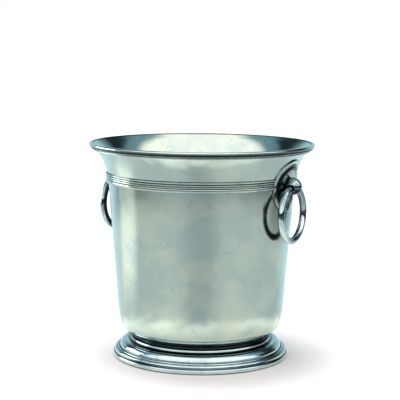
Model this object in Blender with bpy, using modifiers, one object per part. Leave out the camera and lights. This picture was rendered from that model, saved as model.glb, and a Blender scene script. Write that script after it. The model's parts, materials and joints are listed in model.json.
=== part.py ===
"""Champagne bucket on a moulded foot, with a drop ring hung at each side.

Run with: blender --background --python part.py
Metres, +Z up. The bucket's axis is the Z axis, it stands on Z = 0, and its two
drop rings hang on the X axis.
"""

from math import cos, pi, radians, sin

import bmesh
import bpy
from mathutils import Matrix, Vector
from mathutils.geometry import interpolate_bezier

OBJECT_NAME = "champagne_bucket"
MM = 0.001

# Driving dimensions, in millimetres.
HEIGHT = 220.0
RIM_RADIUS = 115.0
WALL = 2.4                # thickness of the bowl and the collar
JOINT_GAP = 0.3           # room left between pieces that touch
JOINT_HEIGHT = 183.0      # where the collar is joined to the bowl
JOINT_RADIUS = 95.6
BOWL_BASE = 22.3          # underside of the bowl's flat bottom
BOWL_BASE_RADIUS = 66.0   # where the flat bottom starts to round up
BAND_LOW = 179.2
BAND_HIGH = 189.6
BAND_PROUD = 1.9
BROAD_REED = 4.4          # height of the lowest reed on the band
FINE_REEDS = 3
NECK_RADIUS = 69.4
NECK_BORE = 65.5
FOOT_TOP = 15.7
FOOT_WALL = 2.2
SHOULDER_RADIUS = 73.2    # where the foot's flat top starts to round down
DOME_ROUND = 6.6
DOME_RADIUS = 83.4        # where the foot's dome meets its rim
DOME_BASE = 9.6
FOOT_RADIUS = 90.3
FOOT_BORE = 81.0

# Handles: a plate and a boss that follow the wall, a knuckle and a ring.
PLATE_CENTRE = 181.0
PLATE_RADIUS = 26.0
BOSS_RADIUS = 19.2
PLATE_FACE = 1.5          # height of the plate's face over the wall
PLATE_GROOVE = 3.9        # from the plate's edge to the groove round its face
BOSS_FACE = 2.6
EYE_X = 102.0             # axis that the ring swings about
EYE_Z = 179.4
WIRE_RADIUS = 3.5
RING_RADIUS = 26.4        # to the middle of the wire
EYE_RADIUS = 4.8
KNUCKLE_RADII = (9.6, 7.6, 8.6)
KNUCKLE_CENTRE = (101.8, 0.0, 181.2)

TURN_STEPS = 48           # flats round each turned piece
DISC_STEPS = 32           # flats round each handle plate


def remove_everything():
    for old in list(bpy.data.objects):
        bpy.data.objects.remove(old, do_unlink=True)


def new_collection(name):
    collection = bpy.data.collections.new(name)
    bpy.context.scene.collection.children.link(collection)
    return collection


def metal(name, color, roughness):
    material = bpy.data.materials.new(name)
    material.use_nodes = True
    shader = material.node_tree.nodes["Principled BSDF"]
    shader.inputs["Base Color"].default_value = (*color, 1.0)
    shader.inputs["Metallic"].default_value = 1.0
    shader.inputs["Roughness"].default_value = roughness
    return material


# ---------------------------------------------------------------- outlines

def bezier(start, start_handle, end_handle, end, points):
    """Points along a curve in the (radius, height) plane."""
    knots = [Vector((r, z)) for r, z in (start, start_handle, end_handle, end)]
    return [tuple(p) for p in interpolate_bezier(*knots, points)]


def arc(centre, radius, first, last, points):
    """Points on a round, by angle in degrees from +radius towards +height."""
    turn = [radians(first + (last - first) * i / (points - 1)) for i in range(points)]
    return [(centre[0] + radius * cos(a), centre[1] + radius * sin(a)) for a in turn]


def offset(outline, distance):
    """The outline moved sideways: outwards for an outline that runs down."""
    moved = []
    for i, (r, z) in enumerate(outline):
        before = Vector(outline[max(i - 1, 0)])
        after = Vector(outline[min(i + 1, len(outline) - 1)])
        along = (after - before).normalized()
        moved.append((r - along.y * distance, z + along.x * distance))
    return moved


def radius_at(outline, height):
    """Radius of an outline that runs down, at one height."""
    for (r0, z0), (r1, z1) in zip(outline, outline[1:]):
        if z1 <= height <= z0:
            return r1 + (r0 - r1) * (height - z1) / (z0 - z1)
    raise ValueError("the outline doesn't reach this height")


COLLAR_TOP = (112.4, 217.2)
COLLAR_LINE = bezier(COLLAR_TOP, (103.2, 209.0), (96.6, 194.5), (JOINT_RADIUS, JOINT_HEIGHT), 11)
BOWL_LINE = [(JOINT_RADIUS, JOINT_HEIGHT)] + bezier(
    (85.2, 55.0), (83.9, 39.0), (80.5, 22.6), (BOWL_BASE_RADIUS, BOWL_BASE), 9)
WALL_LINE = COLLAR_LINE + BOWL_LINE[1:]


# ---------------------------------------------------------------- objects

def link(name, mesh, material, collection):
    piece = bpy.data.objects.new(name, mesh)
    collection.objects.link(piece)
    if material is not None:
        mesh.materials.append(material)
    return piece


def shade(piece, angle=35):
    piece.data.shade_smooth()
    piece.data.set_sharp_from_angle(angle=radians(angle))


def outline_mesh(name, outline, closed):
    """The outline as a chain of edges in the XZ plane, in metres."""
    mesh = bpy.data.meshes.new(name)
    edges = [(i, i + 1) for i in range(len(outline) - 1)]
    if closed:
        edges.append((len(outline) - 1, 0))
    mesh.from_pydata([(r * MM, 0.0, z * MM) for r, z in outline], edges, [])
    return mesh


def turned(name, outline, material, collection, closed=True, steps=TURN_STEPS):
    """A piece turned on a lathe: its outline swept round an axis."""
    piece = link(name, outline_mesh(name, outline, closed), material, collection)
    screw = piece.modifiers.new("turn", "SCREW")
    screw.axis = "Z"
    screw.steps = steps
    screw.render_steps = steps
    screw.use_merge_vertices = True
    screw.merge_threshold = 0.00001
    screw.use_smooth_shade = True
    return piece


def cutter(piece):
    piece.hide_render = True
    piece.display_type = "WIRE"
    return piece


def cylinder(name, radius, depth, centre, axis, collection, steps=48):
    """A cylinder along X or Y, in millimetres."""
    mesh = bpy.data.meshes.new(name)
    shape = bmesh.new()
    bmesh.ops.create_cone(shape, cap_ends=True, segments=steps, radius1=radius * MM,
                          radius2=radius * MM, depth=depth * MM)
    shape.to_mesh(mesh)
    shape.free()
    piece = link(name, mesh, None, collection)
    piece.location = [c * MM for c in centre]
    turn = {"X": (0.0, pi / 2, 0.0), "Y": (pi / 2, 0.0, 0.0)}
    piece.rotation_euler = turn[axis]
    return piece


def cut(piece, other):
    modifier = piece.modifiers.new("cut", "BOOLEAN")
    modifier.operation = "DIFFERENCE"
    modifier.object = other
    modifier.solver = "EXACT"


# ---------------------------------------------------------------- body

def make_bowl(parts):
    """Straight tapering wall, rounded in to a flat bottom; open at the top."""
    top = JOINT_HEIGHT - JOINT_GAP / 2
    outer = [(radius_at(WALL_LINE, top), top)] + BOWL_LINE[1:]
    inner = offset(outer, -WALL)
    inner[0] = (inner[0][0], top)
    inner[-1] = (BOWL_BASE_RADIUS, BOWL_BASE + WALL)
    outline = outer + [(0.0, BOWL_BASE), (0.0, BOWL_BASE + WALL)] + inner[::-1]
    turned("bowl", outline + [outline[0]], metal("bowl_metal", (0.60, 0.63, 0.60), 0.22), parts,
           closed=False)


def make_collar(parts):
    """The flared top of the wall, joined to the bowl behind the band."""
    base = JOINT_HEIGHT + JOINT_GAP / 2
    outer = COLLAR_LINE[:-1] + [(radius_at(WALL_LINE, base), base)]
    inner = offset(outer, -WALL)
    inner[-1] = (inner[-1][0], base)
    turned("collar", outer + inner[::-1], metal("collar_metal", (0.62, 0.65, 0.62), 0.22), parts)


def make_lip(parts):
    """A stepped rim wire over and outside the collar's edge."""
    roll = 1.7
    inside = offset(COLLAR_LINE, JOINT_GAP)
    inner_edge = offset(COLLAR_LINE, -WALL)[0]
    outer = arc((RIM_RADIUS - roll, HEIGHT - roll), roll, 90, -50, 7)
    outer += arc((112.7, 215.9), 1.0, 10, -60, 4)
    outer += arc((110.6, 213.9), 0.9, 10, -75, 4)
    back = [(radius_at(inside, z), z) for z in (213.2, 215.0)]
    back.append((COLLAR_TOP[0] + 0.5, COLLAR_TOP[1] + 0.1))
    over = [(inner_edge[0] + 0.3, inner_edge[1] + 0.35), (inner_edge[0] + 0.4, HEIGHT - 0.3)]
    over.append((inner_edge[0] + 0.9, HEIGHT))
    turned("lip", outer + back + over, metal("lip_metal", (0.66, 0.69, 0.67), 0.14), parts)


def band_outline():
    """Fine reeds over one broad one, on a back that follows the wall."""
    pitch = (BAND_HIGH - BAND_LOW - BROAD_REED) / FINE_REEDS
    outer = []
    for i in range(FINE_REEDS):
        middle = BAND_HIGH - pitch * (i + 0.5)
        face = radius_at(WALL_LINE, middle) + BAND_PROUD - 0.25 * (FINE_REEDS - i)
        outer += [(face - 0.5, middle + pitch / 2), (face, middle)]
    low_face = radius_at(WALL_LINE, BAND_LOW) + BAND_PROUD
    broad_top = BAND_LOW + BROAD_REED
    outer += [(low_face - 0.4, broad_top), (low_face + 0.1, broad_top - 1.0)]
    outer += [(low_face, BAND_LOW + 0.8), (low_face - 0.6, BAND_LOW)]
    back = [(radius_at(WALL_LINE, z) + JOINT_GAP, z) for z in (BAND_LOW, 184.0, BAND_HIGH)]
    return outer + back


def make_bands(parts, cutters):
    """The reeded girdle, in two lengths that end at the handle plates."""
    finish = metal("band_metal", (0.62, 0.65, 0.62), 0.2)
    reach = 260.0
    bore = cutter(cylinder("plate_clearance", PLATE_RADIUS + JOINT_GAP, reach,
                           (0.0, 0.0, PLATE_CENTRE), "X", cutters))
    for name, side in (("girdle_front", -1), ("girdle_back", 1)):
        band = turned(name, band_outline(), finish, parts)
        mesh = bpy.data.meshes.new(name + "_half")
        shape = bmesh.new()
        bmesh.ops.create_cube(shape, size=reach * MM)
        shape.to_mesh(mesh)
        shape.free()
        half = cutter(link(name + "_half", mesh, None, cutters))
        half.location = (0.0, -side * reach / 2 * MM, PLATE_CENTRE * MM)
        cut(band, half)
        cut(band, bore)


# ---------------------------------------------------------------- foot

def make_neck_ring(parts):
    """The short neck under the bowl, with a bead round its foot."""
    top = BOWL_BASE - JOINT_GAP
    base = FOOT_TOP + JOINT_GAP
    outer = [(NECK_RADIUS - 0.4, top), (NECK_RADIUS, top - 1.3)]
    outer += arc((70.5, 18.5), 1.9, 75, -75, 6)
    outer += [(71.4, base + 0.4), (SHOULDER_RADIUS - 0.2, base)]
    turned("neck_ring", outer + [(NECK_BORE, base), (NECK_BORE, top)],
           metal("neck_ring_metal", (0.58, 0.62, 0.62), 0.12), parts)


def make_foot(parts):
    """The domed foot, a shell that is hollow underneath."""
    bore = NECK_BORE + 0.5
    centre = (DOME_RADIUS - DOME_ROUND, DOME_BASE)
    outer = [(bore, FOOT_TOP), (SHOULDER_RADIUS, FOOT_TOP)]
    outer += arc(centre, DOME_ROUND, 100, 0, 8)
    inner = arc(centre, DOME_ROUND - FOOT_WALL, 0, 100, 6)
    inner += [(SHOULDER_RADIUS, FOOT_TOP - FOOT_WALL), (bore, FOOT_TOP - FOOT_WALL)]
    turned("foot", outer + inner, metal("foot_metal", (0.56, 0.60, 0.61), 0.1), parts)


def make_foot_rim(parts):
    """The stepped ring that the foot's dome stands on, flat underneath."""
    ledge = DOME_BASE - JOINT_GAP
    outer = [(DOME_RADIUS - 0.1, ledge)]
    outer += arc((84.5, 8.6), 1.2, 120, 0, 4)
    outer += arc((86.5, 6.6), 2.0, 95, 0, 4)
    outer += [(88.9, 5.0), (89.9, 4.2), (FOOT_RADIUS, 2.6), (FOOT_RADIUS - 0.2, 0.8)]
    outer += [(FOOT_RADIUS - 1.0, 0.0)]
    inner = [(FOOT_BORE + 0.6, 0.0), (FOOT_BORE - 0.2, 0.8), (FOOT_BORE - 0.2, ledge)]
    turned("foot_rim", outer + inner, metal("foot_rim_metal", (0.58, 0.62, 0.63), 0.1), parts)


# ---------------------------------------------------------------- handles

def on_wall(height_over_wall, y, z):
    """Wrap a flat handle plate's point on to the flared wall, at +X."""
    around = y / JOINT_RADIUS
    radius = radius_at(WALL_LINE, PLATE_CENTRE + z) + height_over_wall
    return (radius * cos(around), radius * sin(around), PLATE_CENTRE + z)


def make_wrapped_disc(name, outline, side, material, parts):
    """A disc turned flat, then wrapped on the wall by moving its points.

    The outline gives (distance from the middle, height over the wall), from the
    middle of the face, over the edge and back under to the middle.
    """
    flat = turned(name + "_flat", outline, None, parts, closed=False, steps=DISC_STEPS)
    bpy.context.view_layer.update()
    mesh = bpy.data.meshes.new_from_object(
        flat.evaluated_get(bpy.context.evaluated_depsgraph_get()))
    bpy.data.objects.remove(flat, do_unlink=True)
    for vertex in mesh.vertices:
        x, y, height = (c / MM for c in vertex.co)
        vertex.co = [c * MM for c in on_wall(height, x, y)]
    if side < 0:
        mesh.transform(Matrix.Rotation(pi, 4, "Z"))
    mesh.name = name
    disc = link(name, mesh, material, parts)
    shape = bmesh.new()
    shape.from_mesh(mesh)
    bmesh.ops.recalc_face_normals(shape, faces=shape.faces)
    shape.to_mesh(mesh)
    shape.free()
    shade(disc)


def make_handle(side, word, parts, cutters):
    plate_metal = metal("plate_metal_" + word, (0.62, 0.65, 0.63), 0.16)
    boss_metal = metal("boss_metal_" + word, (0.57, 0.61, 0.61), 0.1)
    polished = metal("handle_metal_" + word, (0.55, 0.60, 0.60), 0.08)

    face = PLATE_FACE
    groove = PLATE_RADIUS - PLATE_GROOVE
    plate = [(0.0, face), (7.0, face), (14.0, face), (groove - 0.5, face), (groove, face - 0.4)]
    plate += [(groove + 0.5, face), (PLATE_RADIUS - 0.4, face), (PLATE_RADIUS, face - 0.4)]
    plate += [(r, JOINT_GAP) for r in (PLATE_RADIUS, 18.0, 9.0, 0.0)]
    make_wrapped_disc("plate_" + word, plate, side, plate_metal, parts)

    under = PLATE_FACE + JOINT_GAP
    face = BOSS_FACE
    boss = [(0.0, face), (6.0, face), (12.0, face), (BOSS_RADIUS - 1.4, face)]
    boss += [(BOSS_RADIUS - 0.5, face - 0.2), (BOSS_RADIUS, face - 0.6)]
    boss += [(r, under) for r in (BOSS_RADIUS, 12.0, 6.0, 0.0)]
    make_wrapped_disc("boss_" + word, boss, side, boss_metal, parts)

    make_knuckle(side, word, polished, parts, cutters)
    make_ring(side, word, polished, parts)


def make_knuckle(side, word, finish, parts, cutters):
    """A ball on the boss, bored along Y for the ring's wire."""
    mesh = bpy.data.meshes.new("knuckle_" + word)
    shape = bmesh.new()
    bmesh.ops.create_uvsphere(shape, u_segments=24, v_segments=14, radius=1.0)
    bmesh.ops.rotate(shape, matrix=Matrix.Rotation(pi / 2, 3, "X"), verts=shape.verts)
    bmesh.ops.scale(shape, vec=[r * MM for r in KNUCKLE_RADII], verts=shape.verts)
    shape.to_mesh(mesh)
    shape.free()
    knuckle = link("knuckle_" + word, mesh, finish, parts)
    x, y, z = KNUCKLE_CENTRE
    knuckle.location = (side * x * MM, y * MM, z * MM)

    eye = cutter(cylinder("eye_" + word, EYE_RADIUS, 40.0, (side * EYE_X, 0.0, EYE_Z), "Y",
                          cutters, steps=24))
    cut(knuckle, eye)
    over_wall = BOSS_FACE + JOINT_GAP
    high = PLATE_CENTRE + PLATE_RADIUS
    low = PLATE_CENTRE - PLATE_RADIUS
    back = [(r + over_wall, h) for r, h in WALL_LINE if low < h < high]
    back.append((radius_at(WALL_LINE, low) + over_wall, low))
    core = [(0.0, back[0][1])] + back + [(0.0, low)]
    inside = cutter(turned("boss_clearance_" + word, core, None, cutters, closed=False))
    cut(knuckle, inside)
    shade(knuckle, 50)


def make_ring(side, word, finish, parts):
    """The drop ring, hung on an empty that marks its swinging axis."""
    pivot = bpy.data.objects.new("ring_pivot_" + word, None)
    parts.objects.link(pivot)
    pivot.location = (side * EYE_X * MM, 0.0, EYE_Z * MM)

    curve = bpy.data.curves.new("ring_" + word, "CURVE")
    curve.dimensions = "3D"
    curve.bevel_depth = WIRE_RADIUS * MM
    curve.bevel_resolution = 2
    curve.resolution_u = 10
    spline = curve.splines.new("BEZIER")
    spline.bezier_points.add(3)
    handle = 0.5523 * RING_RADIUS
    for i, point in enumerate(spline.bezier_points):
        a = i * pi / 2
        here = Vector((0.0, RING_RADIUS * sin(a), RING_RADIUS * cos(a)))
        along = Vector((0.0, handle * cos(a), -handle * sin(a)))
        point.co = here * MM
        point.handle_left = (here - along) * MM
        point.handle_right = (here + along) * MM
    spline.use_cyclic_u = True
    curve.materials.append(finish)
    ring = bpy.data.objects.new("ring_" + word, curve)
    parts.objects.link(ring)
    ring.parent = pivot
    ring.location = (0.0, 0.0, -RING_RADIUS * MM)


def main():
    remove_everything()
    parts = new_collection(OBJECT_NAME)
    cutters = new_collection("cutters")
    make_bowl(parts)
    make_collar(parts)
    make_lip(parts)
    make_bands(parts, cutters)
    make_neck_ring(parts)
    make_foot(parts)
    make_foot_rim(parts)
    for side, word in ((1, "right"), (-1, "left")):
        make_handle(side, word, parts, cutters)


main()
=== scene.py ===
"""Champagne bucket: the finished metalwork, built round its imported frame.

Laid out as an add-on and run as a script. Metres, +Z up; the bucket's axis is the Z axis, it
stands on Z = 0, and its two drop rings hang on the X axis.
"""

import json
from math import cos, hypot, pi, radians, sin

import bpy
from bpy.props import FloatProperty, FloatVectorProperty, IntProperty, PointerProperty
from mathutils import Matrix, Vector
from mathutils.geometry import interpolate_bezier


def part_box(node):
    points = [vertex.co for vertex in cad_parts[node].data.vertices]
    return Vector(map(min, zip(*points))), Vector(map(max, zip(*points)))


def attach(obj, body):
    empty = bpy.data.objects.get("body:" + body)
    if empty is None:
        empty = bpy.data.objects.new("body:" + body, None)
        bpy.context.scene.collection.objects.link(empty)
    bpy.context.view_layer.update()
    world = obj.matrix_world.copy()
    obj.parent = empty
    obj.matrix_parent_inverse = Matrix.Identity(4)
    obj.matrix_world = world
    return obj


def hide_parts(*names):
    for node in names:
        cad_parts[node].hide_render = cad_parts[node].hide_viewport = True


bl_info = {
    "name": "Champagne Bucket",
    "version": (1, 0, 0),
    "blender": (4, 5, 0),
    "location": "View3D > Sidebar > Bucket",
    "description": "Builds a satin silver champagne bucket with drop ring handles",
    "category": "Add Mesh",
}

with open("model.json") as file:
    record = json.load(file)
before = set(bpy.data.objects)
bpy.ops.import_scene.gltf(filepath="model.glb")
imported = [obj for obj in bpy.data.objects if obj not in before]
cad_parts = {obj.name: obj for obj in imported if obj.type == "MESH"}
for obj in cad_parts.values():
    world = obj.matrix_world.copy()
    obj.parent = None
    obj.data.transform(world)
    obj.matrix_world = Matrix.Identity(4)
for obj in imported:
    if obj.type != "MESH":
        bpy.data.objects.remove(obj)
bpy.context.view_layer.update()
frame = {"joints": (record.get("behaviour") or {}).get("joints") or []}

BUCKET = "bucket"
MERGE = 1e-6                 # distance under which two points are one
GAP = 0.0003                 # room left between pieces that touch
HALF_GAP = GAP / 2
GROOVE_FLOOR = 0.0005        # height over the wall of the grooves between the girdle's reeds
GROOVE_SHOULDER = 0.55       # part of a groove's half width that the darkening, painted shade and some oxide, fills completely
SMOOTH_ANGLE = radians(40)   # edges sharper than this stay sharp
LANE = radians(12)           # how far the bright lane is turned back from the camera's left


def joint_axis_place(name):
    """Where a ring's swinging axis crosses the XZ plane."""
    joint = next(j for j in frame["joints"] if j["name"] == name)
    return Vector(joint["pos_m"])


# ---------------------------------------------------------------- settings

class BucketSizes(bpy.types.PropertyGroup):
    """The turned body: bowl, collar, lip, girdle and foot."""

    rim_radius: FloatProperty(
        name="Rim radius", description="From the axis to the outside of the lip",
        default=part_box("lip")[1].x, unit="LENGTH", precision=4)
    height: FloatProperty(
        name="Height", description="From the table to the top of the lip",
        default=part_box("lip")[1].z, unit="LENGTH", precision=4)
    wall: FloatProperty(
        name="Wall", description="Thickness of the bowl and the collar",
        default=0.0024, unit="LENGTH", precision=4)
    joint_height: FloatProperty(
        name="Joint height", description="Where the collar is joined to the bowl",
        default=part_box("bowl")[1].z + HALF_GAP, unit="LENGTH", precision=4)
    joint_radius: FloatProperty(
        name="Joint radius", description="Outside radius where the collar is joined on",
        default=0.0956, unit="LENGTH", precision=4)
    bowl_base: FloatProperty(
        name="Bowl base", description="Height of the underside of the bowl",
        default=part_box("bowl")[0].z, unit="LENGTH", precision=4)
    band_low: FloatProperty(
        name="Girdle foot", description="Lower edge of the reeded girdle",
        default=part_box("girdle_front")[0].z, unit="LENGTH", precision=4)
    band_high: FloatProperty(
        name="Girdle top", description="Upper edge of the reeded girdle",
        default=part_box("girdle_front")[1].z, unit="LENGTH", precision=4)
    foot_top: FloatProperty(
        name="Foot top", description="Height of the flat round the neck",
        default=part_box("neck_ring")[0].z - GAP, unit="LENGTH", precision=4)
    dome_radius: FloatProperty(
        name="Dome radius", description="Where the foot's dome meets its rim",
        default=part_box("foot")[1].x, unit="LENGTH", precision=4)
    foot_radius: FloatProperty(
        name="Foot radius", description="From the axis to the outside of the foot",
        default=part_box("foot_rim")[1].x, unit="LENGTH", precision=4)
    turns: IntProperty(
        name="Turning steps", description="Facets round each turned piece", default=192, min=48)


class HandleSizes(bpy.types.PropertyGroup):
    """The plates, bosses, knuckles and rings."""

    plate_height: FloatProperty(
        name="Plate height", description="Height of the middle of each handle plate",
        default=(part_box("plate_right")[0].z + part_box("plate_right")[1].z) / 2,
        unit="LENGTH", precision=4)
    plate_radius: FloatProperty(
        name="Plate radius", description="Radius of the plate that follows the wall",
        default=(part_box("plate_right")[1].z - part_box("plate_right")[0].z) / 2,
        unit="LENGTH", precision=4)
    plate_face: FloatProperty(
        name="Plate face", description="Height of the plate's face over the wall",
        default=0.0015, unit="LENGTH", precision=4)
    boss_radius: FloatProperty(
        name="Boss radius", description="Radius of the raised round on the plate",
        default=(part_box("boss_right")[1].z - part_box("boss_right")[0].z) / 2,
        unit="LENGTH", precision=4)
    boss_face: FloatProperty(
        name="Boss face", description="Height of the boss's face over the wall",
        default=0.0026, unit="LENGTH", precision=4)
    wire_radius: FloatProperty(
        name="Wire radius", description="Radius of the ring's wire",
        default=0.0035, unit="LENGTH", precision=4)
    ring_radius: FloatProperty(
        name="Ring radius", description="From the ring's middle to the middle of its wire",
        default=0.0264, unit="LENGTH", precision=4)
    eye_radius: FloatProperty(
        name="Eye radius", description="Radius of the bore that the ring hangs in",
        default=0.0048, unit="LENGTH", precision=4)


class BucketColours(bpy.types.PropertyGroup):
    """The colours of the metal and of the table."""

    satin_light: FloatVectorProperty(
        name="Satin, light", description="Lighter tone of the satin wall",
        default=(0.60, 0.67, 0.61), subtype="COLOR", min=0, max=1)
    satin_dark: FloatVectorProperty(
        name="Satin, dark", description="Darker tone of the satin wall",
        default=(0.48, 0.58, 0.58), subtype="COLOR", min=0, max=1)
    polished_light: FloatVectorProperty(
        name="Polished, light", description="Lighter tone of the polished mouldings",
        default=(0.63, 0.74, 0.77), subtype="COLOR", min=0, max=1)
    polished_dark: FloatVectorProperty(
        name="Polished, dark", description="Darker tone of the polished mouldings",
        default=(0.43, 0.54, 0.58), subtype="COLOR", min=0, max=1)
    handle_light: FloatVectorProperty(
        name="Handle, light", description="Lighter tone of the handles",
        default=(0.76, 0.84, 0.86), subtype="COLOR", min=0, max=1)
    handle_dark: FloatVectorProperty(
        name="Handle, dark", description="Darker tone of the handles",
        default=(0.27, 0.35, 0.38), subtype="COLOR", min=0, max=1)
    # Also the colour of the painted shade in recesses, under the knuckles and on sides towards
    # the wall.
    tarnish_and_shade: FloatVectorProperty(
        name="Tarnish", description="What gathers in grooves and pits",
        default=(0.006, 0.016, 0.020), subtype="COLOR", min=0, max=1)
    table: FloatVectorProperty(
        name="Table", description="The pale surface that the bucket stands on",
        default=(0.84, 0.81, 0.83), subtype="COLOR", min=0, max=1)


class StageSettings(bpy.types.PropertyGroup):
    """Where the camera stands and how it is aimed."""

    azimuth: FloatProperty(
        name="Azimuth", description="How far the camera stands round to the right",
        default=radians(28.1), subtype="ANGLE")
    distance: FloatProperty(
        name="Distance", description="Camera to the bucket's axis, along the table",
        default=1.300, unit="LENGTH")
    height: FloatProperty(
        name="Height", description="Camera over the table", default=0.3342, unit="LENGTH")
    pitch: FloatProperty(
        name="Pitch", description="How far the camera looks down",
        default=radians(7.62), subtype="ANGLE")
    yaw: FloatProperty(
        name="Yaw", description="How far the camera is turned past the axis",
        default=radians(0.07), subtype="ANGLE")
    roll: FloatProperty(
        name="Roll", description="How far the camera leans", default=radians(0.49),
        subtype="ANGLE")
    lens: FloatProperty(name="Lens", description="Focal length", default=115.0, unit="CAMERA")


# ---------------------------------------------------------------- outlines

def bezier(start, start_handle, end_handle, end, points):
    """Points along a curve in the (radius, height) plane."""
    knots = [Vector(knot) for knot in (start, start_handle, end_handle, end)]
    return [tuple(point) for point in interpolate_bezier(*knots, points)]


def arc(centre, radius, first, last, points):
    """Points on a round, by angle in degrees from +radius towards +height."""
    turn = [radians(first + (last - first) * i / (points - 1)) for i in range(points)]
    return [(centre[0] + radius * cos(a), centre[1] + radius * sin(a)) for a in turn]


def straight(start, end, points):
    """Evenly spaced points from start up to, but without, end."""
    return [tuple(Vector(start).lerp(Vector(end), i / points)) for i in range(points)]


def offset(outline, distance):
    """The outline moved sideways: outwards for an outline that runs down."""
    moved = []
    for i, (radius, height) in enumerate(outline):
        before = Vector(outline[max(i - 1, 0)])
        after = Vector(outline[min(i + 1, len(outline) - 1)])
        along = (after - before).normalized()
        moved.append((radius - along.y * distance, height + along.x * distance))
    return moved


def radius_at(outline, height):
    """Radius of an outline that runs down, at one height."""
    for (r0, z0), (r1, z1) in zip(outline, outline[1:]):
        if z1 <= height <= z0:
            return r1 + (r0 - r1) * (height - z1) / (z0 - z1)
    raise ValueError("the outline doesn't reach this height")


def collar_line(sizes):
    """Outside of the flare, from under the lip down to the joint."""
    top = (sizes.rim_radius - 0.0026, sizes.height - 0.0028)
    top_handle = (0.1032, 0.2090)
    joint_handle = (0.0966, 0.1945)
    joint = (sizes.joint_radius, sizes.joint_height)
    return bezier(top, top_handle, joint_handle, joint, 30)


def bowl_line(sizes):
    """Outside of the bowl, from the joint down to its flat bottom."""
    joint = (sizes.joint_radius, sizes.joint_height)
    turn_in = (0.0852, 0.0550)
    turn_handle = (0.0839, 0.0390)
    base_handle = (0.0805, 0.0226)
    base = (0.0660, sizes.bowl_base)
    return straight(joint, turn_in, 24) + bezier(turn_in, turn_handle, base_handle, base, 26)


def wall_line(sizes):
    """Outside of the whole wall, from the lip to the bottom."""
    return collar_line(sizes) + bowl_line(sizes)[1:]


# ---------------------------------------------------------------- modelling

def deselect_all():
    for piece in list(bpy.context.selected_objects):
        piece.select_set(False)


def edit(piece):
    """Make one piece active and open it in edit mode."""
    if bpy.context.object and bpy.context.object.mode == "EDIT":
        bpy.ops.object.mode_set(mode="OBJECT")
    deselect_all()
    bpy.context.view_layer.objects.active = piece
    piece.select_set(True)
    bpy.ops.object.mode_set(mode="EDIT")


def leave_edit():
    bpy.ops.object.mode_set(mode="OBJECT")


def apply_place(piece):
    """Put the place, turn and scale of an object into its mesh."""
    deselect_all()
    bpy.context.view_layer.objects.active = piece
    piece.select_set(True)
    bpy.ops.object.transform_apply(location=True, rotation=True, scale=True)


def apply_modifier(piece, kind, **settings):
    """Add a modifier, set it, and apply it at once."""
    deselect_all()
    bpy.context.view_layer.objects.active = piece
    piece.select_set(True)
    modifier = piece.modifiers.new(kind.title(), kind)
    for name, value in settings.items():
        setattr(modifier, name, value)
    bpy.ops.object.modifier_apply(modifier=modifier.name)


def clean(piece):
    """Merge doubles, turn every face outwards and shade the rounds smooth."""
    edit(piece)
    bpy.ops.mesh.select_all(action="SELECT")
    bpy.ops.mesh.remove_doubles(threshold=MERGE)
    bpy.ops.mesh.delete_loose()
    bpy.ops.mesh.select_all(action="SELECT")
    bpy.ops.mesh.normals_make_consistent(inside=False)
    leave_edit()
    bpy.ops.object.shade_smooth_by_angle(angle=SMOOTH_ANGLE)


def turned(name, outline, turns, axis=(0.0, 0.0, 1.0), centre=(0.0, 0.0, 0.0)):
    """Draw an outline by extruding one corner along it, then spin it round an axis.

    The outline's points are (distance from the axis, place along it). Round Z the outline is
    drawn in the XZ plane; round X it is drawn in the plane through the centre that faces Y.
    """
    upright = axis[2] == 1.0
    spots = [Vector(centre) + (Vector((r, 0.0, h)) if upright else Vector((h, 0.0, r)))
             for r, h in outline]
    deselect_all()
    bpy.ops.mesh.primitive_plane_add(size=MERGE, location=spots[0])
    piece = bpy.context.object
    piece.name = name
    edit(piece)
    bpy.ops.mesh.merge(type="CENTER")
    for here, there in zip(spots, spots[1:] + spots[:1]):
        bpy.ops.mesh.extrude_region_move(TRANSFORM_OT_translate={"value": there - here})
    bpy.ops.mesh.select_all(action="SELECT")
    bpy.ops.mesh.remove_doubles(threshold=MERGE)
    bpy.ops.mesh.spin(steps=turns, angle=2 * pi, center=centre, axis=axis)
    leave_edit()
    apply_place(piece)
    clean(piece)
    return piece


def mirrored_copy(piece, name):
    """A copy turned half round the bucket's axis, with its own mesh."""
    twin = piece.copy()
    twin.data = piece.data.copy()
    twin.name = name
    bpy.context.collection.objects.link(twin)
    twin.rotation_euler = (0.0, 0.0, pi)
    apply_place(twin)
    return twin


def dent(piece, strength, size):
    """Push the metal in and out very slightly, as spinning and use leave it."""
    clouds = bpy.data.textures.new(piece.name + "_waves", "CLOUDS")
    clouds.noise_scale = size
    clouds.noise_depth = 1
    apply_modifier(piece, "DISPLACE", texture=clouds, strength=strength, mid_level=0.5,
                   texture_coords="LOCAL")


def between(value, low, high):
    """0 at low, 1 at high and a straight rise from one to the other."""
    return min(max((value - low) / (high - low), 0.0), 1.0)


def tarnish_and_shade(piece, painted_shade_and_oxide):
    """Store each point's darkening, from 0 to 1, for its material: mostly painted shade, with
    some oxide in the grooves.
    """
    marks = [painted_shade_and_oxide(vertex.co) for vertex in piece.data.vertices]
    attribute = piece.data.attributes.new("groove", "FLOAT", "POINT")
    attribute.data.foreach_set("value", marks)


def in_groove(place, grooves):
    """1 on the floor of a groove that runs round the bucket, 0 outside it.

    A groove is (distance from the axis, height, half of its width).
    """
    radius = hypot(place.x, place.y)
    return max(between(hypot(radius - r, place.z - h), half, GROOVE_SHOULDER * half)
               for r, h, half in grooves)


def finish_piece(piece, node, slot, body=BUCKET):
    """Give a piece its slot's metal and put it on its body in place of the plain solid."""
    piece.data.materials.clear()
    piece.data.materials.append(metal(slot))
    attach(piece, body)
    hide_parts(node)


# ---------------------------------------------------------------- metal

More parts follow.
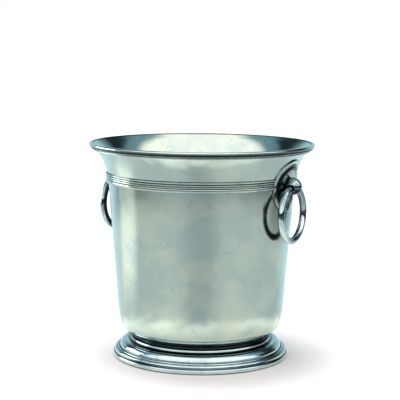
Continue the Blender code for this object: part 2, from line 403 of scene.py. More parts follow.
def new_material(name):
    """An empty node material with its output and one metal shader."""
    material = bpy.data.materials.new(name)
    material.use_nodes = True
    tree = material.node_tree
    tree.nodes.clear()
    out = tree.nodes.new("ShaderNodeOutputMaterial")
    out.location = (1100, 0)
    shader = tree.nodes.new("ShaderNodeBsdfPrincipled")
    shader.location = (820, 0)
    shader.inputs["Metallic"].default_value = 1.0
    tree.links.new(shader.outputs["BSDF"], out.inputs["Surface"])
    return material, tree, shader


def add_node(tree, kind, place, inputs=None, **settings):
    node = tree.nodes.new(kind)
    node.location = place
    for name, value in settings.items():
        setattr(node, name, value)
    for name, value in (inputs or {}).items():
        node.inputs[name].default_value = value
    return node


def noise(tree, vector, place, scale, detail=2.0, roughness=0.5, distortion=0.0):
    node = add_node(tree, "ShaderNodeTexNoise", place,
                    {"Scale": scale, "Detail": detail, "Roughness": roughness,
                     "Distortion": distortion})
    tree.links.new(vector, node.inputs["Vector"])
    return node.outputs["Fac"]


def stretch(tree, vector, place, scale):
    """Squeeze a pattern along an axis, for lines left by brushing."""
    node = add_node(tree, "ShaderNodeMapping", place, {"Scale": scale})
    tree.links.new(vector, node.inputs["Vector"])
    return node.outputs["Vector"]


def ranged(tree, value, place, from_low, from_high, to_low, to_high, kind="LINEAR"):
    node = add_node(tree, "ShaderNodeMapRange", place,
                    {"From Min": from_low, "From Max": from_high, "To Min": to_low,
                     "To Max": to_high}, interpolation_type=kind)
    tree.links.new(value, node.inputs["Value"])
    return node.outputs["Result"]


def rising(tree, value, place, low, high):
    """0 up to low, 1 from high on, and a soft rise from one to the other."""
    return ranged(tree, value, place, low, high, 0.0, 1.0, "SMOOTHSTEP")


def falling(tree, value, place, low, high):
    """1 up to low, 0 from high on, and a soft fall from one to the other."""
    return ranged(tree, value, place, low, high, 1.0, 0.0, "SMOOTHSTEP")


def mixed(tree, factor, first, second, place):
    """Mix two colours by a socket; each colour is a socket or fixed."""
    node = add_node(tree, "ShaderNodeMix", place, data_type="RGBA")
    tree.links.new(factor, node.inputs["Factor"])
    for name, value in (("A", first), ("B", second)):
        socket = next(s for s in node.inputs if s.name == name and s.type == "RGBA")
        if isinstance(value, bpy.types.NodeSocket):
            tree.links.new(value, socket)
        else:
            socket.default_value = (*value, 1.0)
    return next(s for s in node.outputs if s.type == "RGBA")


def calculated(tree, operation, place, *values):
    """One step of arithmetic; each value is a socket or fixed."""
    node = add_node(tree, "ShaderNodeMath", place, operation=operation)
    for socket, value in zip(node.inputs, values):
        if isinstance(value, float):
            socket.default_value = value
        else:
            tree.links.new(value, socket)
    return node.outputs["Value"]


def bump(tree, height, place, strength, distance, normal=None):
    node = add_node(tree, "ShaderNodeBump", place, {"Strength": strength, "Distance": distance})
    tree.links.new(height, node.inputs["Height"])
    if normal is not None:
        tree.links.new(normal, node.inputs["Normal"])
    return node.outputs["Normal"]


def silver(name, tone, smooth, rough, wave, brushing, pitting):
    """Worn silver: cloudy tone, smudges, brushed lines, pits, and grooves and recesses darkened
    with painted shade and some oxide.

    tone is the first word of its two colours' names; smooth and rough bound the roughness;
    wave, brushing and pitting are bump strengths.
    """
    pit_share = 0.06             # part of the speckle's cells that hold a pit
    smudge_tone = 0.16           # how far a smudge takes the tone to tarnish
    # how far the groove attribute's painted shade and oxide take the tone
    shade_and_oxide_tone = 0.98
    pit_tone = 0.8
    smudge_roughness = 0.10      # roughness that smudges and tarnish add
    tarnish_roughness = 0.12
    colours = bpy.context.scene.bucket_colours
    light = getattr(colours, tone + "_light")
    dark = getattr(colours, tone + "_dark")

    material, tree, shader = new_material(name)
    place = add_node(tree, "ShaderNodeTexCoord", (-1300, 0)).outputs["Object"]
    groove = add_node(tree, "ShaderNodeAttribute", (-1300, -500),
                      attribute_name="groove").outputs["Fac"]

    clouds = noise(tree, place, (-1050, 300), 26.0, 4.0, roughness=0.6, distortion=0.4)
    cloud = rising(tree, clouds, (-850, 300), 0.36, 0.66)
    smudges = noise(tree, place, (-1050, 100), 85.0, 6.0, roughness=0.7, distortion=0.8)
    smudge = rising(tree, smudges, (-850, 100), 0.52, 0.80)
    brushed = stretch(tree, place, (-1230, -150), (40.0, 40.0, 1700.0))
    lines = noise(tree, brushed, (-1050, -100), 1.0, 3.0, roughness=0.6)
    speckle = add_node(tree, "ShaderNodeTexVoronoi", (-1050, -300), {"Scale": 210.0})
    tree.links.new(place, speckle.inputs["Vector"])
    near = ranged(tree, speckle.outputs["Distance"], (-850, -300), 0.05, 0.13, 1.0, 0.0)
    chance = add_node(tree, "ShaderNodeSeparateColor", (-850, -450))
    tree.links.new(speckle.outputs["Color"], chance.inputs["Color"])
    chosen = calculated(tree, "LESS_THAN", (-650, -450), chance.outputs[0], pit_share)
    pit = calculated(tree, "MULTIPLY", (-450, -350), near, chosen)

    color = mixed(tree, cloud, dark, light, (-600, 300))
    fading = calculated(tree, "MULTIPLY", (-600, 120), smudge, smudge_tone)
    faded = mixed(tree, fading, color, colours.tarnish_and_shade, (-400, 300))
    # Painted shade: the groove attribute darkens grooves, recesses and sides towards the wall.
    groove_shade_and_oxide = calculated(tree, "MULTIPLY", (-400, -100), groove, shade_and_oxide_tone)
    pit_dirt = calculated(tree, "MULTIPLY", (-250, -350), pit, pit_tone)
    dirt_and_shade = calculated(tree, "MAXIMUM", (-200, -50), groove_shade_and_oxide, pit_dirt)
    worn_and_shaded = mixed(tree, dirt_and_shade, faded, colours.tarnish_and_shade, (0, 300))
    tree.links.new(worn_and_shaded, shader.inputs["Base Color"])

    base = ranged(tree, clouds, (-600, -100), 0.3, 0.7, smooth, rough)
    dull = calculated(tree, "MULTIPLY_ADD", (-200, -200), smudge, smudge_roughness, base)
    duller = calculated(tree, "MULTIPLY_ADD", (0, -200), dirt_and_shade, tarnish_roughness, dull)
    tree.links.new(duller, shader.inputs["Roughness"])

    waves = noise(tree, place, (-200, -600), 42.0, 1.0, roughness=0.4)
    normal = bump(tree, waves, (0, -600), wave, distance=0.0012)
    normal = bump(tree, lines, (200, -500), brushing, distance=0.0001, normal=normal)
    hole = calculated(tree, "SUBTRACT", (200, -350), 1.0, pit)
    normal = bump(tree, hole, (400, -400), pitting, distance=0.0003, normal=normal)
    tree.links.new(normal, shader.inputs["Normal"])
    return material


FINISHES = {
    "satin_wall": {"name": "satin_silver", "tone": "satin", "smooth": 0.11, "rough": 0.18,
                   "wave": 0.10, "brushing": 0.05, "pitting": 0.6},
    "polished_foot": {"name": "polished_silver_foot", "tone": "polished", "smooth": 0.07,
                      "rough": 0.13, "wave": 0.05, "brushing": 0.03, "pitting": 0.4},
    "polished_handle": {"name": "polished_silver_handle", "tone": "handle", "smooth": 0.06,
                        "rough": 0.12, "wave": 0.04, "brushing": 0.02, "pitting": 0.3},
}


def metal(slot):
    """The metal of a slot, made the first time that it is asked for."""
    finish = FINISHES[slot]
    return bpy.data.materials.get(finish["name"]) or silver(**finish)


# ---------------------------------------------------------------- pieces

class BUCKET_OT_bowl(bpy.types.Operator):
    """Spin the tapering bowl with its rounded, flat bottom"""

    bl_idname = "bucket.bowl"
    bl_label = "Bowl"

    def execute(self, context):
        sizes = context.scene.bucket_sizes
        ring_radius = context.scene.bucket_handles.ring_radius
        ring_middle = joint_axis_place("ring_right_swing").z - ring_radius
        outer = bowl_line(sizes)
        inner = offset(outer, -sizes.wall)
        top = sizes.joint_height - HALF_GAP
        outer[0] = (outer[0][0], top)
        inner[0] = (inner[0][0], top)
        inner[-1] = (outer[-1][0], sizes.bowl_base + sizes.wall)
        floor_rings = [0.05, 0.033, 0.016, 0.0]
        under = [(r, sizes.bowl_base) for r in floor_rings]
        inside = [(r, sizes.bowl_base + sizes.wall) for r in floor_rings]
        piece = turned("Bowl", outer + under + inside[::-1] + inner[::-1], sizes.turns)
        dent(piece, strength=0.00022, size=0.045)
        thin = 0.42              # strength of the painted shade behind a ring

        def painted_shade_and_oxide(place):
            """Painted shade on the turn to the foot, and on the wall behind each ring."""
            base = between(place.z - sizes.bowl_base, 0.0066, 0.0034)
            behind = between(hypot(place.y, place.z - ring_middle), 0.031, 0.022)
            return max(base, thin * behind)

        tarnish_and_shade(piece, painted_shade_and_oxide)
        finish_piece(piece, "bowl", "satin_wall")
        return {"FINISHED"}


class BUCKET_OT_collar(bpy.types.Operator):
    """Spin the flared collar at the bucket's mouth"""

    bl_idname = "bucket.collar"
    bl_label = "Collar"

    def execute(self, context):
        sizes = context.scene.bucket_sizes
        outer = collar_line(sizes)
        inner = offset(outer, -sizes.wall)
        base = sizes.joint_height + HALF_GAP
        outer[-1] = (outer[-1][0], base)
        inner[-1] = (inner[-1][0], base)
        piece = turned("Collar", outer + inner[::-1], sizes.turns)
        dent(piece, strength=0.00022, size=0.03)
        finish_piece(piece, "collar", "satin_wall")
        return {"FINISHED"}


class BUCKET_OT_lip(bpy.types.Operator):
    """Spin the rolled lip with the two beads under it"""

    bl_idname = "bucket.lip"
    bl_label = "Lip"

    def execute(self, context):
        sizes = context.scene.bucket_sizes
        line = collar_line(sizes)
        roll = 0.0017
        upper_bead = (0.1127, 0.2157)
        lower_bead = (0.1107, 0.2136)
        inside = offset(line, GAP)
        edge = Vector(offset(line, -sizes.wall)[0])
        outer = arc((sizes.rim_radius - roll, sizes.height - roll), roll, 90, -48, 14)
        outer += arc(upper_bead, 0.0010, 30, -55, 8)
        outer += arc(lower_bead, 0.0009, 30, -75, 8)
        # The grooves under the beads and at the inner edge are darkened with painted shade and
        # some oxide.
        grooves = [(0.1137, 0.2167, 0.0021), (0.1118, 0.2146, 0.0011), (0.1102, 0.2126, 0.0011),
                   (edge.x, sizes.height, 0.0010)]
        back = [(radius_at(inside, z), z) for z in (0.2129, 0.2150)]
        back.append((line[0][0] + 0.0005, line[0][1] + 0.0001))
        over = [(edge.x + 0.0003, edge.y + 0.00035), (edge.x + 0.0004, sizes.height - 0.0004)]
        over += arc((edge.x + 0.0012, sizes.height - 0.0008), 0.0008, 165, 95, 5)
        piece = turned("Lip", outer + back + over, sizes.turns)
        tarnish_and_shade(piece, lambda place: in_groove(place, grooves))
        finish_piece(piece, "lip", "satin_wall")
        return {"FINISHED"}


def reed(outline, top, bottom, proud, points=9):
    """The rounded face of one reed, standing proud of the wall."""
    face = []
    for i in range(points):
        across = i / (points - 1)
        height = top + (bottom - top) * across
        swell = 1.0 - abs(2.0 * across - 1.0) ** 4
        face.append((radius_at(outline, height) + GROOVE_FLOOR + proud * swell, height))
    return face


class BUCKET_OT_girdle(bpy.types.Operator):
    """Spin the reeded girdle and cut it where the handle plates sit"""

    bl_idname = "bucket.girdle"
    bl_label = "Girdle"

    def execute(self, context):
        sizes = context.scene.bucket_sizes
        handles = context.scene.bucket_handles
        line = wall_line(sizes)
        broad = 0.0041
        fine = (sizes.band_high - sizes.band_low - broad) / 3
        half_width = 0.0010
        face = []
        # The grooves between the reeds are darkened with painted shade and some oxide.
        grooves = [(radius_at(line, sizes.band_low), sizes.band_low, half_width)]
        for i, proud in enumerate((0.0010, 0.0013, 0.0015)):
            top = sizes.band_high - fine * i
            face += reed(line, top, top - fine, proud)
            grooves += [(radius_at(line, z) + GROOVE_FLOOR, z, half_width)
                        for z in (top, top - fine)]
        face += reed(line, sizes.band_low + broad, sizes.band_low, proud=0.0016, points=17)
        step = (sizes.band_high - sizes.band_low) / 6
        back = [(radius_at(line, z) + HALF_GAP, z)
                for z in (sizes.band_low + step * i for i in range(7))]
        band = turned("Girdle_Front", face + back, sizes.turns)
        clearance = handles.plate_radius + GAP
        deselect_all()
        bpy.ops.mesh.primitive_cylinder_add(
            vertices=96, radius=clearance, depth=3 * sizes.rim_radius,
            location=(0.0, 0.0, handles.plate_height), rotation=(0.0, pi / 2, 0.0))
        bore = context.object
        apply_modifier(band, "BOOLEAN", operation="DIFFERENCE", object=bore, solver="EXACT")
        bpy.data.objects.remove(bore)
        edit(band)
        bpy.ops.mesh.select_all(action="SELECT")
        bpy.ops.mesh.separate(type="LOOSE")
        leave_edit()
        halves = sorted(context.selected_objects, key=lambda half: half.bound_box[0][1])
        for half, name, node in zip(halves, ("Girdle_Front", "Girdle_Back"),
                                    ("girdle_front", "girdle_back")):
            half.name = name
            clean(half)
            tarnish_and_shade(half, lambda place: in_groove(place, grooves))
            finish_piece(half, node, "satin_wall")
        return {"FINISHED"}


class BUCKET_OT_foot(bpy.types.Operator):
    """Spin the neck ring, the domed foot and its stepped rim"""

    bl_idname = "bucket.foot"
    bl_label = "Foot"

    def execute(self, context):
        sizes = context.scene.bucket_sizes
        pieces = (("Neck_Ring", self.neck_ring(sizes), "neck_ring"),
                  ("Foot", self.dome(sizes), "foot"),
                  ("Foot_Rim", self.rim(sizes), "foot_rim"))
        # Grooves darkened with painted shade and some oxide; the last is painted contact shadow
        # where the rim meets the table.
        grooves = [(0.0694, 0.0206, 0.0009), (0.0714, 0.0162, 0.0009), (0.0838, 0.0095, 0.0009),
                   (0.0858, 0.0085, 0.0007), (0.0886, 0.0054, 0.0009), (0.0890, 0.0048, 0.0009),
                   (sizes.foot_radius, 0.0, 0.0014)]

        def painted_shade_and_oxide(place):
            """Painted shade: the grooves, the neck but for the crown of its bead, and the flat
            round it.
            """
            radius = hypot(place.x, place.y)
            neck = between(radius, 0.0722, 0.0717)
            flat = between(radius, 0.0758, 0.0745) * between(place.z, 0.0168, 0.0162)
            return max(in_groove(place, grooves), neck, flat)

        for name, outline, node in pieces:
            piece = turned(name, outline, sizes.turns)
            tarnish_and_shade(piece, painted_shade_and_oxide)
            finish_piece(piece, node, "polished_foot")
        return {"FINISHED"}

    @staticmethod
    def neck_ring(sizes):
        top = sizes.bowl_base - GAP
        base = sizes.foot_top + GAP
        bead = (0.0705, 0.0185)
        outer = [(0.0690, top), (0.0694, top - 0.0013)]
        outer += arc(bead, 0.0019, 75, -75, 14)
        outer += [(0.0714, base + 0.0004), (0.0730, base)]
        bore = 0.0655
        return outer + [(bore, base), (bore, top)]

    @staticmethod
    def dome(sizes):
        swell = 0.0066
        shell = 0.0022
        centre = (sizes.dome_radius - swell, 0.0096)
        shoulder = 0.0732
        bore = 0.0660
        outer = [(bore, sizes.foot_top), (shoulder, sizes.foot_top)]
        outer += arc(centre, swell, 100, 0, 26)
        inner = arc(centre, swell - shell, 0, 100, 14)
        inner += [(shoulder, sizes.foot_top - shell), (bore, sizes.foot_top - shell)]
        return outer + inner

    @staticmethod
    def rim(sizes):
        radius = sizes.foot_radius
        ledge = 0.0093
        upper_step = (0.0845, 0.0086)
        lower_step = (0.0865, 0.0066)
        outer = [(sizes.dome_radius - 0.0001, ledge)]
        outer += arc(upper_step, 0.0012, 120, 0, 8)
        outer += arc(lower_step, 0.0020, 95, 0, 8)
        outer += [(0.0889, 0.0050)]
        outer += bezier((0.0894, 0.0047), (0.0902, 0.0041), (radius + 0.0001, 0.0034),
                        (radius, 0.0022), 8)
        outer += bezier((radius, 0.0020), (radius, 0.0010), (radius - 0.0003, 0.0002),
                        (radius - 0.0012, 0.0), 6)
        inner = [(0.0816, 0.0), (0.0808, 0.0008), (0.0808, ledge)]
        return outer + inner


def wrap_on_wall(piece, line, middle):
    """Lay a flat round plate on the flared wall at +X by moving its points."""
    for vertex in piece.data.vertices:
        over, y, z = vertex.co
        radius = radius_at(line, z) + over
        around = y / radius_at(line, middle)
        vertex.co = (radius * cos(around), radius * sin(around), z)


class BUCKET_OT_plates(bpy.types.Operator):
    """Spin the handle plates and bosses and wrap them on the wall"""

    bl_idname = "bucket.plates"
    bl_label = "Plates and bosses"

    groove_inset = 0.0039        # from the plate's edge in to the groove in its face
    groove_half = 0.0006         # half of the groove's width at the face
    floor_half = 0.0002          # half of the width of its floor
    groove_depth = 0.0004

    def execute(self, context):
        sizes = context.scene.bucket_sizes
        handles = context.scene.bucket_handles
        line = wall_line(sizes)
        strong = 0.8             # strength of the painted shade, with some oxide, in the groove and on the face
        thin = 0.4

        def painted_shade_and_oxide(place):
            """Painted shade on the plate's edge, on its face within the groove, and on the step
            up to the boss.
            """
            radius = hypot(place.y, place.z - handles.plate_height)
            inset = handles.plate_radius - self.groove_inset
            edge = between(abs(radius - handles.plate_radius), 0.0005, 0.0001)
            groove = between(abs(radius - inset), self.groove_half, self.floor_half)
            face = between(radius, inset, inset - 0.0010) * between(radius, 0.0, 0.0150)
            step = between(abs(radius - handles.boss_radius), 0.0036, 0.0024)
            return max(edge, strong * groove, thin * face, step)

        for name, outline, slot in (("Plate", self.plate(handles), "satin_wall"),
                                    ("Boss", self.boss(handles), "polished_handle")):
            right = turned(name + "_Right", outline, 96, axis=(1.0, 0.0, 0.0),
                           centre=(0.0, 0.0, handles.plate_height))
            wrap_on_wall(right, line, handles.plate_height)
            tarnish_and_shade(right, painted_shade_and_oxide)
            left = mirrored_copy(right, name + "_Left")
            for piece, word in ((right, "right"), (left, "left")):
                finish_piece(piece, name.lower() + "_" + word, slot)
        return {"FINISHED"}

    def plate(self, handles):
        face = handles.plate_face
        edge = handles.plate_radius
        groove = edge - self.groove_inset
        floor = face - self.groove_depth
        rounding = 0.0006
        outline = straight((0.0, face), (groove - self.groove_half, face), 24)
        outline += [(groove - self.groove_half, face), (groove - self.floor_half, floor)]
        outline += [(groove + self.floor_half, floor), (groove + self.groove_half, face)]
        outline += [(groove + 0.0012, face), (edge - 0.0013, face)]
        outline += arc((edge - rounding, face - rounding), rounding, 90, 0, 5)
        return outline + [(edge * i / 6, GAP) for i in range(6, -1, -1)]

    @staticmethod
    def boss(handles):
        under = handles.plate_face + GAP
        face = handles.boss_face
        edge = handles.boss_radius
        flat = edge - 0.0024
        outline = straight((0.0, face), (flat, face), 12)
        outline += bezier((flat, face), (edge - 0.0012, face),
                          (edge, face - 0.0001), (edge, face - 0.0007), 7)
        return outline + [(edge * i / 6, under) for i in range(6, -1, -1)]


class BUCKET_OT_knuckles(bpy.types.Operator):
    """Shape the balls that hold the rings, and bore their eyes"""

    bl_idname = "bucket.knuckles"
    bl_label = "Knuckles"

    def execute(self, context):
        sizes = context.scene.bucket_sizes
        handles = context.scene.bucket_handles
        eye = joint_axis_place("ring_right_swing")
        middle = (eye.x - 0.0002, 0.0, 0.1812)
        radii = (0.0096, 0.0086, 0.0076)
        deselect_all()
        bpy.ops.mesh.primitive_uv_sphere_add(
            segments=64, ring_count=36, radius=1.0, location=middle,
            rotation=(pi / 2, 0.0, 0.0), scale=radii)
        ball = context.object
        ball.name = "Knuckle_Right"
        apply_place(ball)
        bpy.ops.mesh.primitive_cylinder_add(
            vertices=64, radius=handles.eye_radius, depth=0.04, location=eye,
            rotation=(pi / 2, 0.0, 0.0))
        bore = context.object
        apply_modifier(ball, "BOOLEAN", operation="DIFFERENCE", object=bore, solver="EXACT")
        over = handles.boss_face + GAP
        low = handles.plate_height - handles.plate_radius
        high = handles.plate_height + handles.plate_radius
        core = [(r + over, z) for r, z in wall_line(sizes) if low < z < high]
        core = [(0.0, core[0][1]), *core, (0.0, core[-1][1])]
        inside = turned("Boss_Clearance", core, sizes.turns)
        apply_modifier(ball, "BOOLEAN", operation="DIFFERENCE", object=inside, solver="EXACT")
        for cutter in (bore, inside):
            bpy.data.objects.remove(cutter)
        clean(ball)
        apply_modifier(ball, "BEVEL", width=0.0004, segments=3, limit_method="ANGLE",
                       angle_limit=SMOOTH_ANGLE)
        clean(ball)

        def painted_shade_and_oxide(place):
            """Painted shade on the side towards the wall and on the underside."""
            inner = between(place.x - eye.x, 0.0020, -0.0020)
            under = between(place.z - eye.z, 0.0020, -0.0015)
            return max(inner, under)

        tarnish_and_shade(ball, painted_shade_and_oxide)
        left = mirrored_copy(ball, "Knuckle_Left")
        for piece, word in ((ball, "right"), (left, "left")):
            finish_piece(piece, "knuckle_" + word, "polished_handle")
        return {"FINISHED"}


class BUCKET_OT_rings(bpy.types.Operator):
    """Bend the two drop rings and hang them in their eyes"""

    bl_idname = "bucket.rings"
    bl_label = "Drop rings"

    def execute(self, context):
        handles = context.scene.bucket_handles
        eye = joint_axis_place("ring_right_swing")
        deselect_all()
        bpy.ops.mesh.primitive_torus_add(
            major_segments=160, minor_segments=40, major_radius=handles.ring_radius,
            minor_radius=handles.wire_radius,
            location=(eye.x, 0.0, eye.z - handles.ring_radius), rotation=(0.0, pi / 2, 0.0))
        right = context.object
        right.name = "Ring_Right"
        apply_place(right)
        clean(right)

        def painted_shade_and_oxide(place):
            """Painted shade on the side of the wire that faces the wall."""
            return between((eye.x - place.x) / handles.wire_radius, 0.3, 0.75)

        tarnish_and_shade(right, painted_shade_and_oxide)
        left = mirrored_copy(right, "Ring_Left")
        for piece, node in ((right, "ring_right"), (left, "ring_left")):
            finish_piece(piece, node, "polished_handle", body=node)
        return {"FINISHED"}


# ---------------------------------------------------------------- stage

class BUCKET_OT_stage(bpy.types.Operator):
    """Lay the pale table, hang the soft lights and set up the camera"""

    bl_idname = "bucket.stage"
    bl_label = "Stage"

    def execute(self, context):
        self.table(context)
        self.surround(context)
        self.lamps(context)
        self.camera(context)
        context.scene.view_settings.view_transform = "Standard"
        return {"FINISHED"}

    @staticmethod
    def table(context):
        """A white table top, which the metal mirrors graded: darker away from the bucket.

        The grading is painted light, seen only in reflections: it stands for the fall of light
        under a small canopy. It has a painted glowing lane at the camera's left, where a strip
        lamp stands, and a pale blue field behind. Noise moves its bounds about, so that the
        metal shows no ruled edges.
        """
        near_tone = (0.97, 0.96, 0.88)
        ahead_tone = (0.33, 0.355, 0.35)
        beside_tone = (0.46, 0.49, 0.47)
        edge_tone = (0.03, 0.04, 0.045)
        behind_tone = (0.50, 0.65, 0.71)
        painted_lane_tone = (1.0, 1.0, 0.86, 1.0)
        painted_lane_glow = 0.60
        deselect_all()
        bpy.ops.mesh.primitive_circle_add(vertices=128, radius=3.0, fill_type="NGON")
        floor = context.object
        floor.name = "Table"
        material, tree, shader = new_material("pale_table")
        shader.inputs["Metallic"].default_value = 0.0
        shader.inputs["Roughness"].default_value = 0.85
        shader.inputs["Specular IOR Level"].default_value = 0.2
        colour = context.scene.bucket_colours.table
        place = add_node(tree, "ShaderNodeTexCoord", (-1700, 0)).outputs["Object"]
        grain = noise(tree, place, (-1000, 500), 30.0, 3.0)
        paper = mixed(tree, grain, [c * 0.99 for c in colour], colour, (-200, 500))

        aligned = add_node(tree, "ShaderNodeMapping", (-1500, 0),
                           {"Rotation": (0.0, 0.0, -context.scene.bucket_stage.azimuth)})
        tree.links.new(place, aligned.inputs["Vector"])
        far = add_node(tree, "ShaderNodeVectorMath", (-1300, 200), operation="LENGTH")
        tree.links.new(aligned.outputs["Vector"], far.inputs[0])
        distance = far.outputs["Value"]
        unit = add_node(tree, "ShaderNodeVectorMath", (-1300, -100), operation="NORMALIZE")
        tree.links.new(aligned.outputs["Vector"], unit.inputs[0])
        split = add_node(tree, "ShaderNodeSeparateXYZ", (-1100, 0))
        tree.links.new(unit.outputs["Vector"], split.inputs["Vector"])
        lane = add_node(tree, "ShaderNodeVectorMath", (-1100, -300), operation="DOT_PRODUCT")
        lane.inputs[1].default_value = (-cos(LANE), sin(LANE), 0.0)
        tree.links.new(unit.outputs["Vector"], lane.inputs[0])

        wander = noise(tree, place, (-1300, 500), 13.0, 1.0)
        waved = calculated(tree, "MULTIPLY_ADD", (-1100, 300), wander, 0.16, distance)
        fall = rising(tree, waved, (-900, 200), 0.20, 0.31)
        edge = rising(tree, distance, (-900, 0), 0.66, 0.82)
        back = calculated(tree, "MULTIPLY_ADD", (-1000, -200), wander, 0.45, split.outputs["Y"])
        behind = rising(tree, back, (-900, -200), 0.50, 1.10)
        side = calculated(tree, "ABSOLUTE", (-1000, 300), split.outputs["X"])
        strayed = calculated(tree, "MULTIPLY_ADD", (-950, 350), wander, 0.55, side)
        beside = rising(tree, strayed, (-900, 400), 0.30, 0.85)
        distant = mixed(tree, beside, ahead_tone, beside_tone, (-750, 400))
        graded = mixed(tree, fall, near_tone, distant, (-600, 200))
        graded = mixed(tree, edge, graded, edge_tone, (-400, 200))
        graded = mixed(tree, behind, graded, behind_tone, (-200, 200))
        mirrored = add_node(tree, "ShaderNodeLightPath", (-400, -400)).outputs["Is Glossy Ray"]
        tree.links.new(mixed(tree, mirrored, paper, graded, (100, 300)),
                       shader.inputs["Base Color"])
        # Painted glow: the table shines in the lane for mirrored rays only, standing in for the
        # strip lamp's reflection.
        bright = rising(tree, lane.outputs["Value"], (-900, -400), 0.93, 0.998)
        away = rising(tree, distance, (-900, -600), 0.16, 0.46)
        lit = calculated(tree, "MULTIPLY", (-300, -300), bright, away)
        glow = calculated(tree, "MULTIPLY", (-100, -300), lit, mirrored)
        tree.links.new(calculated(tree, "MULTIPLY", (100, -300), glow, painted_lane_glow),
                       shader.inputs["Emission Strength"])
        shader.inputs["Emission Color"].default_value = painted_lane_tone
        floor.data.materials.append(material)

    @staticmethod
    def surround(context):
        """A dark studio with a white canopy overhead, a white screen in front and a backdrop.

        Only the metal sees it: the camera itself sees plain white. Directions are turned so
        that +X is to the camera's right and +Y is away from it.
        """
        room_tone = (0.015, 0.03, 0.035)
        backdrop_tone = (0.48, 0.72, 0.78)
        screen_tone = (1.3, 1.42, 1.45)
        dusk_tone = (0.22, 0.38, 0.45)
        canopy_tone = (1.62, 1.54, 1.45)
        world = bpy.data.worlds.new("Studio")
        context.scene.world = world
        world.use_nodes = True
        tree = world.node_tree
        tree.nodes.clear()
        out = add_node(tree, "ShaderNodeOutputWorld", (1300, 0))
        direction = add_node(tree, "ShaderNodeTexCoord", (-800, 0)).outputs["Generated"]
        aligned = add_node(tree, "ShaderNodeMapping", (-600, 0),
                           {"Rotation": (0.0, 0.0, -context.scene.bucket_stage.azimuth)})
        tree.links.new(direction, aligned.inputs["Vector"])
        split = add_node(tree, "ShaderNodeSeparateXYZ", (-400, 0))
        tree.links.new(aligned.outputs["Vector"], split.inputs["Vector"])
        away, up = split.outputs["Y"], split.outputs["Z"]

        over = rising(tree, up, (-200, 500), 0.36, 0.58)
        before = falling(tree, away, (-200, 300), -0.08, 0.14)
        zenith = rising(tree, up, (-200, 700), 0.88, 0.96)
        spread = calculated(tree, "MAXIMUM", (-100, 600), before, zenith)
        canopy = calculated(tree, "MULTIPLY", (0, 400), over, spread)
        rear = falling(tree, away, (-200, 100), 0.32, 0.48)
        high = rising(tree, up, (-200, -50), 0.62, 0.80)
        dim = calculated(tree, "MAXIMUM", (-100, 100), rear, high)
        dusk = calculated(tree, "MULTIPLY", (0, 200), over, dim)
        behind = rising(tree, away, (-200, -100), 0.60, 0.84)
        low = falling(tree, up, (-200, -300), 0.20, 0.50)
        backdrop = calculated(tree, "MULTIPLY", (0, -200), behind, low)
        level = rising(tree, up, (-200, -500), 0.09, 0.22)
        screen = calculated(tree, "MULTIPLY", (0, -400), level, before)

        room = mixed(tree, backdrop, room_tone, backdrop_tone, (300, -100))
        room = mixed(tree, screen, room, screen_tone, (350, -50))
        room = mixed(tree, dusk, room, dusk_tone, (400, 0))
        room = mixed(tree, canopy, room, canopy_tone, (500, 100))
        studio = add_node(tree, "ShaderNodeBackground", (750, 0), {"Strength": 1.0})
        tree.links.new(room, studio.inputs["Color"])
        paper = add_node(tree, "ShaderNodeBackground", (750, -200),
                         {"Color": (1.0, 1.0, 1.0, 1.0), "Strength": 1.0})
        seen = add_node(tree, "ShaderNodeLightPath", (750, 400)).outputs["Is Camera Ray"]
        choose = add_node(tree, "ShaderNodeMixShader", (1050, 0))
        tree.links.new(seen, choose.inputs[0])
        tree.links.new(studio.outputs[0], choose.inputs[1])
        tree.links.new(paper.outputs[0], choose.inputs[2])
        tree.links.new(choose.outputs[0], out.inputs["Surface"])

    @staticmethod
    def lamps(context):
        """A low strip at the camera's left for the metal, and a wide sun for the table.

        The strip's place is an angle round from the camera, an angle up and a distance.
        """
        aim = Vector((0.0, 0.0, 0.11))
        stand = context.scene.bucket_stage.azimuth
        around = stand + radians(-109)
        up = radians(12)
        distance = 0.75
        out = Vector((sin(around) * cos(up), -cos(around) * cos(up), sin(up)))
        bpy.ops.object.light_add(type="AREA", location=aim + out * distance)
        strip = context.object
        strip.name = "Left_Strip"
        strip.rotation_euler = out.to_track_quat("Z", "Y").to_euler()
        strip.data.shape = "RECTANGLE"
        strip.data.size = 0.46
        strip.data.size_y = 0.36
        strip.data.energy = 2.4
        strip.data.color = (0.95, 1.0, 1.0)
        strip.visible_diffuse = False
        bpy.ops.object.light_add(type="SUN", rotation=(radians(-9), radians(-4), stand))
        sun = context.object
        sun.name = "Overhead_Diffuser"
        sun.data.energy = 2.0
        sun.data.angle = radians(24)
        sun.visible_glossy = False

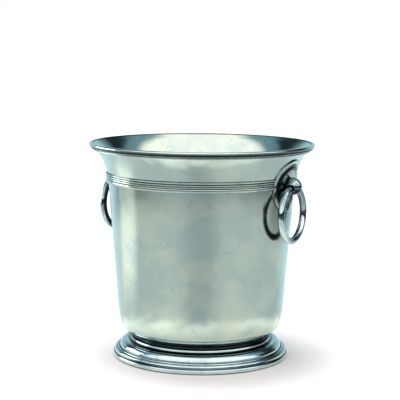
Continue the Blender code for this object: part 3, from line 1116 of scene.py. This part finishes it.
    @staticmethod
    def camera(context):
        settings = context.scene.bucket_stage
        bpy.ops.object.camera_add()
        camera = context.object
        camera.name = "Camera"
        camera.data.lens = settings.lens
        camera.data.sensor_width = 36.0
        camera.data.clip_start = 0.01
        stand = Vector((settings.distance * sin(settings.azimuth),
                        -settings.distance * cos(settings.azimuth), settings.height))
        camera.matrix_world = (Matrix.Translation(stand)
                               @ Matrix.Rotation(settings.azimuth + settings.yaw, 4, "Z")
                               @ Matrix.Rotation(pi / 2 - settings.pitch, 4, "X")
                               @ Matrix.Rotation(settings.roll, 4, "Z"))
        context.scene.camera = camera


# ---------------------------------------------------------------- add-on

STEPS = (
    BUCKET_OT_bowl,
    BUCKET_OT_collar,
    BUCKET_OT_lip,
    BUCKET_OT_girdle,
    BUCKET_OT_foot,
    BUCKET_OT_plates,
    BUCKET_OT_knuckles,
    BUCKET_OT_rings,
    BUCKET_OT_stage,
)

SETTINGS = (
    ("bucket_sizes", BucketSizes),
    ("bucket_handles", HandleSizes),
    ("bucket_colours", BucketColours),
    ("bucket_stage", StageSettings),
)


class BUCKET_PT_panel(bpy.types.Panel):
    """Lists the settings and the steps that build the bucket"""

    bl_idname = "BUCKET_PT_panel"
    bl_label = "Champagne Bucket"
    bl_space_type = "VIEW_3D"
    bl_region_type = "UI"
    bl_category = "Bucket"

    def draw(self, context):
        layout = self.layout
        for name, group in SETTINGS:
            box = layout.box()
            for field in group.__annotations__:
                box.prop(getattr(context.scene, name), field)
        for step in STEPS:
            layout.operator(step.bl_idname)


def register():
    for _, group in SETTINGS:
        bpy.utils.register_class(group)
    for name, group in SETTINGS:
        setattr(bpy.types.Scene, name, PointerProperty(type=group))
    for item in (*STEPS, BUCKET_PT_panel):
        bpy.utils.register_class(item)


def unregister():
    for item in (BUCKET_PT_panel, *reversed(STEPS)):
        bpy.utils.unregister_class(item)
    for name, group in reversed(SETTINGS):
        delattr(bpy.types.Scene, name)
        bpy.utils.unregister_class(group)


def main():
    register()
    bpy.ops.bucket.bowl()
    bpy.ops.bucket.collar()
    bpy.ops.bucket.lip()
    bpy.ops.bucket.girdle()
    bpy.ops.bucket.foot()
    bpy.ops.bucket.plates()
    bpy.ops.bucket.knuckles()
    bpy.ops.bucket.rings()
    bpy.ops.bucket.stage()


if __name__ == "__main__":
    main()
